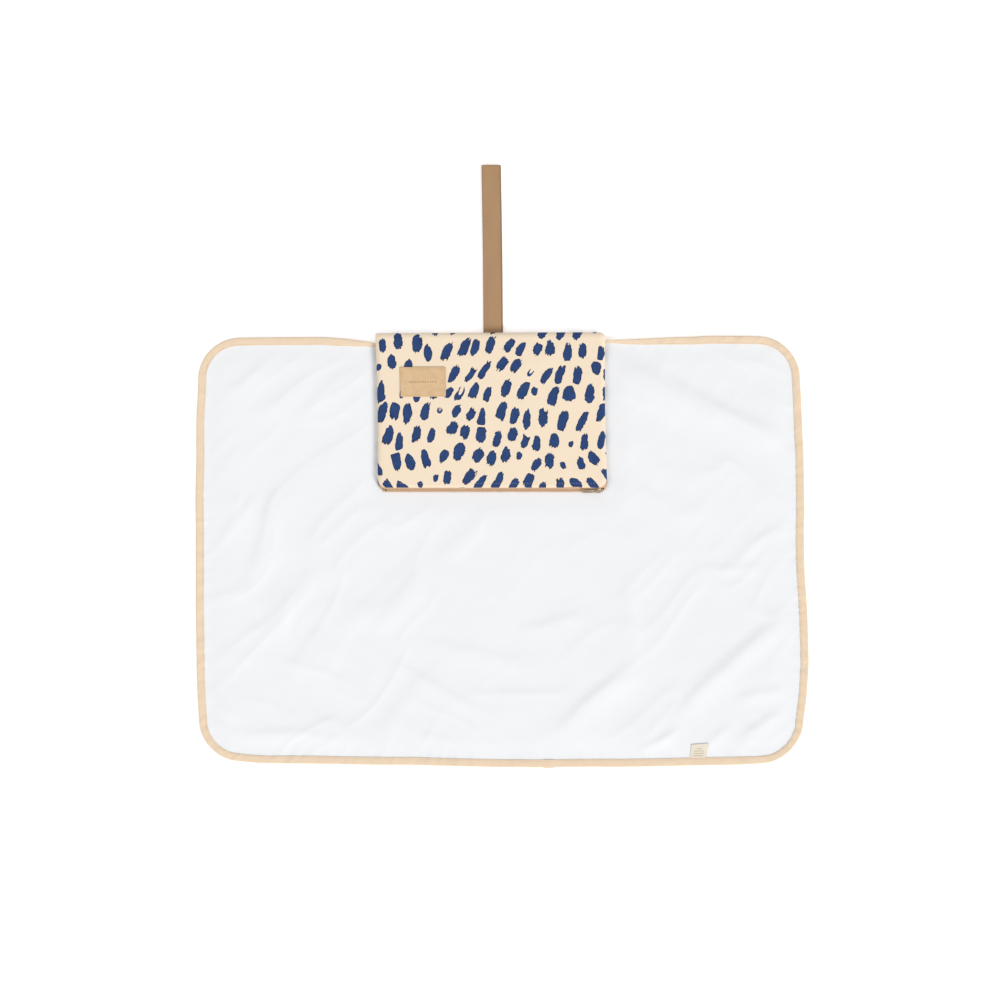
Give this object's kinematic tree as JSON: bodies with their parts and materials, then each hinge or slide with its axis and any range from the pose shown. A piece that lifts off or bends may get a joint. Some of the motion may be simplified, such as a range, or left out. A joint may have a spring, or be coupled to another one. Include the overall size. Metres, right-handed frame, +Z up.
{
  "type": "changing pad",
  "caption": "Fold-up travel changing pad: thin bound mat with two folding wings, a hinged zipped print pouch on its top edge and an elastic closing loop.",
  "frame": {"origin": "middle of the mat's underside, on the surface that the mat lies on", "axes": "+X along the mat's long side, +Y towards the edge that carries the pouch and strap, +Z up out of the white face"},
  "size_m": [0.68, 0.6704, 0.0125],
  "materials": {
    "coated_cloth": "white coated cloth, soft satin",
    "wadding": "thin needle-felt wadding",
    "printed_cotton": "cream plain-weave cotton with blue brush dabs",
    "binding_cotton": "beige bias-cut cotton tape",
    "lining": "plain lining cloth",
    "elastic_webbing": "tan ribbed elastic webbing",
    "zip_tape": "tan woven zip tape",
    "zip_coil": "tan nylon coil",
    "zip_metal": "satin nickel",
    "patch_leather": "natural tan leather, matt",
    "patch_thread": "tan thread",
    "thread": "beige thread",
    "label_tape": "cream woven label tape"
  },
  "bodies": {
    "centre": {"mat_top_centre": "coated_cloth", "mat_wadding_centre": "wadding", "mat_backing_centre": "printed_cotton", "binding_top_centre": "binding_cotton", "binding_bottom_centre": "binding_cotton", "binding_stitch_centre": "thread", "strap_root": "elastic_webbing", "pouch_hinge_tape": "printed_cotton"},
    "left_wing": {"mat_top_left": "coated_cloth", "mat_wadding_left": "wadding", "mat_backing_left": "printed_cotton", "binding_left": "binding_cotton", "binding_stitch_left": "thread"},
    "right_wing": {"mat_top_right": "coated_cloth", "mat_wadding_right": "wadding", "mat_backing_right": "printed_cotton", "binding_right": "binding_cotton", "binding_stitch_right": "thread", "care_label_tail": "label_tape"},
    "pouch": {"pouch_front_panel": "printed_cotton", "pouch_front_lining": "lining", "pouch_back_lining": "lining", "pouch_back_panel": "printed_cotton", "leather_patch": "patch_leather", "patch_stitching": "patch_thread", "zip_topstitching": "thread", "zip_tape_front": "zip_tape", "zip_tape_back": "zip_tape", "zip_coil_front": "zip_coil", "zip_coil_back": "zip_coil", "zip_end_stops": "zip_metal"},
    "zip_slider": {"zip_slider_body": "zip_metal"},
    "zip_pull": {"zip_pull_tab": "zip_metal"},
    "strap_riser": {"strap_riser": "elastic_webbing"},
    "strap_tip": {"strap_loop": "elastic_webbing"},
    "care_label": {"care_label_leaf": "label_tape"}
  },
  "joints": [
    {"name": "fold_left", "type": "hinge", "parent": "centre", "child": "left_wing", "pos_m": [-0.146, 0, 0.0095], "axis": [0, 1, 0], "range_deg": [0, 180]},
    {"name": "fold_right", "type": "hinge", "parent": "centre", "child": "right_wing", "pos_m": [0.122, 0, 0.013], "axis": [0, -1, 0], "range_deg": [0, 180]},
    {"name": "pouch_flip", "type": "hinge", "parent": "centre", "child": "pouch", "pos_m": [-0.0118, 0.2438, 0.008], "axis": [-1, 0, 0], "range_deg": [0, 180]},
    {"name": "zip_slide", "type": "slide", "parent": "pouch", "child": "zip_slider", "axis": [-1, 0, 0], "range_m": [0, 0.228]},
    {"name": "pull_swing", "type": "hinge", "parent": "zip_slider", "child": "zip_pull", "pos_m": [0.1045, 0.06777, 0.01014], "axis": [0, -0.8, -0.6], "range_deg": [-170, 0]},
    {"name": "strap_lift", "type": "hinge", "parent": "centre", "child": "strap_riser", "pos_m": [-0.01, 0.2456, 0.0019], "axis": [-1, 0, 0], "range_deg": [-90, 0]},
    {"name": "strap_bend", "type": "hinge", "parent": "strap_riser", "child": "strap_tip", "pos_m": [-0.01, 0.2586, 0.0019], "axis": [-1, 0, 0], "range_deg": [-90, 0]},
    {"name": "label_flip", "type": "hinge", "parent": "right_wing", "child": "care_label", "pos_m": [0.2205, -0.2284, 0.00375], "axis": [-1, 0, 0], "range_deg": [-165, 0]}
  ]
}
